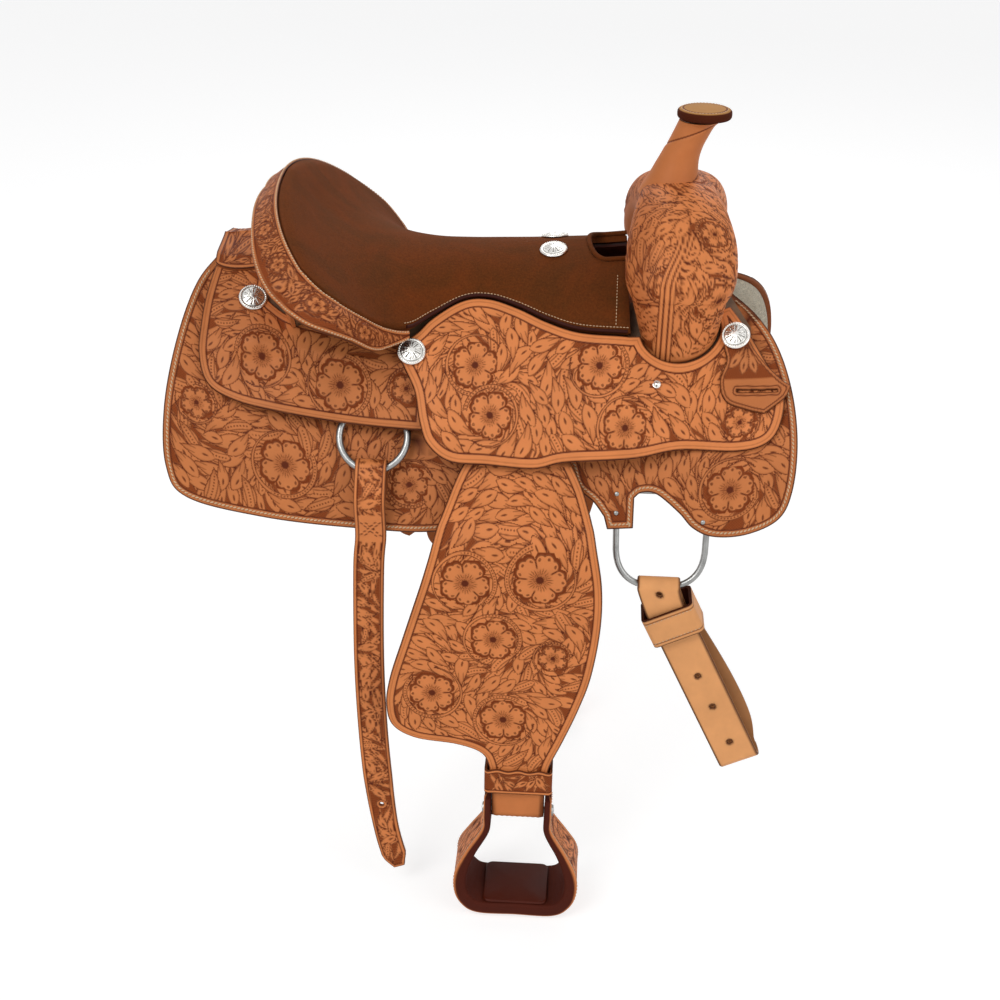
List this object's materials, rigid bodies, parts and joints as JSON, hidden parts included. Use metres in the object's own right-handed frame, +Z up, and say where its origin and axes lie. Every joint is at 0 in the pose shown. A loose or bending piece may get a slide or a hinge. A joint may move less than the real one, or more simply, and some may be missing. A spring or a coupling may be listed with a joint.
{
  "type": "western saddle",
  "caption": "Western ranch saddle: roping horn and fork, suede seat with high cantle, tooled skirts, jockeys and swinging fenders, stirrups, rigging dees and billet straps.",
  "frame": {"origin": "on the middle plane, at the roof of the channel over the horse's back, midway along the skirts", "axes": "+X forward to the horse's head, +Y to its near (left) side, +Z up"},
  "size_m": [0.68, 0.4972, 0.9081],
  "materials": {
    "tooled_leather": "carved, oiled, satin",
    "plain_leather": "smooth harness leather",
    "dark_leather": "dark red-brown, smooth",
    "suede": "napped suede",
    "fleece": "cream wool pile",
    "rawhide_tree": "rawhide over wood",
    "steel": "satin",
    "silver": "polished, engraved"
  },
  "bodies": {
    "saddle": {"cantle": "rawhide_tree", "cantle_back": "tooled_leather", "cheyenne_roll": "tooled_leather", "fork": "rawhide_tree", "fork_cover": "tooled_leather", "ground_seat": "plain_leather", "horn": "steel", "horn_cap": "dark_leather", "horn_wrap": "tooled_leather", "near_bar": "rawhide_tree", "near_bar_strap": "dark_leather", "near_dee_hanger": "dark_leather", "near_fleece": "fleece", "near_front_concho": "silver", "near_front_dee": "steel", "near_latigo_keeper": "tooled_leather", "near_mid_concho": "silver", "near_rear_concho": "silver", "near_rear_jockey": "tooled_leather", "near_rosette_screw": "silver", "near_seat_concho": "silver", "near_seat_jockey": "tooled_leather", "near_skirt": "tooled_leather", "off_bar": "rawhide_tree", "off_bar_strap": "dark_leather", "off_dee_hanger": "dark_leather", "off_fleece": "fleece", "off_front_concho": "silver", "off_front_dee": "steel", "off_latigo_keeper": "tooled_leather", "off_mid_concho": "silver", "off_rear_concho": "silver", "off_rear_jockey": "tooled_leather", "off_rosette_screw": "silver", "off_seat_concho": "silver", "off_seat_jockey": "tooled_leather", "off_skirt": "tooled_leather", "rear_housing": "tooled_leather", "seat": "suede"},
    "near_fender_body": {"near_fender": "tooled_leather", "near_stirrup_leather": "dark_leather", "near_hobble_strap": "tooled_leather"},
    "near_stirrup_body": {"near_stirrup": "dark_leather", "near_tread_pad": "dark_leather", "near_stirrup_bolt": "steel"},
    "near_rear_dee_body": {"near_rear_dee": "steel"},
    "near_rear_billet_body": {"near_rear_billet": "tooled_leather"},
    "off_fender_body": {"off_fender": "tooled_leather", "off_stirrup_leather": "dark_leather", "off_hobble_strap": "tooled_leather"},
    "off_stirrup_body": {"off_stirrup": "dark_leather", "off_tread_pad": "dark_leather", "off_stirrup_bolt": "steel"},
    "off_rear_dee_body": {"off_rear_dee": "steel"},
    "off_rear_billet_body": {"off_rear_billet": "tooled_leather"},
    "off_billet_body": {"off_billet": "plain_leather", "off_billet_band": "plain_leather"}
  },
  "joints": [
    {"name": "near_fender_swing", "type": "hinge", "parent": "saddle", "child": "near_fender_body", "pos_m": [0.068, 0.2, -0.092], "axis": [0, 1, 0], "range_deg": [-12, 15]},
    {"name": "near_stirrup_swing", "type": "hinge", "parent": "near_fender_body", "child": "near_stirrup_body", "pos_m": [0.068, 0.2095, -0.568], "axis": [1, 0, 0], "range_deg": [-45, 45]},
    {"name": "near_rear_dee_swing", "type": "hinge", "parent": "saddle", "child": "near_rear_dee_body", "pos_m": [-0.1, 0.14049, -0.08639], "axis": [1, 0, 0], "range_deg": [0, 10]},
    {"name": "near_rear_billet_swing", "type": "hinge", "parent": "near_rear_dee_body", "child": "near_rear_billet_body", "pos_m": [-0.1, 0.18136, -0.14578], "axis": [1, 0, 0], "range_deg": [0, 30]},
    {"name": "off_fender_swing", "type": "hinge", "parent": "saddle", "child": "off_fender_body", "pos_m": [0.068, -0.2, -0.092], "axis": [0, 1, 0], "range_deg": [-11, 6]},
    {"name": "off_stirrup_swing", "type": "hinge", "parent": "off_fender_body", "child": "off_stirrup_body", "pos_m": [0.068, -0.2095, -0.568], "axis": [1, 0, 0], "range_deg": [-45, 45]},
    {"name": "off_rear_dee_swing", "type": "hinge", "parent": "saddle", "child": "off_rear_dee_body", "pos_m": [-0.1, -0.14049, -0.08639], "axis": [1, 0, 0], "range_deg": [-10, 0]},
    {"name": "off_rear_billet_swing", "type": "hinge", "parent": "off_rear_dee_body", "child": "off_rear_billet_body", "pos_m": [-0.1, -0.18136, -0.14578], "axis": [1, 0, 0], "range_deg": [-30, 0]},
    {"name": "off_billet_swing", "type": "hinge", "parent": "saddle", "child": "off_billet_body", "pos_m": [0.215, -0.20201, -0.26451], "axis": [1, 0, 0], "range_deg": [-30, 30]}
  ]
}
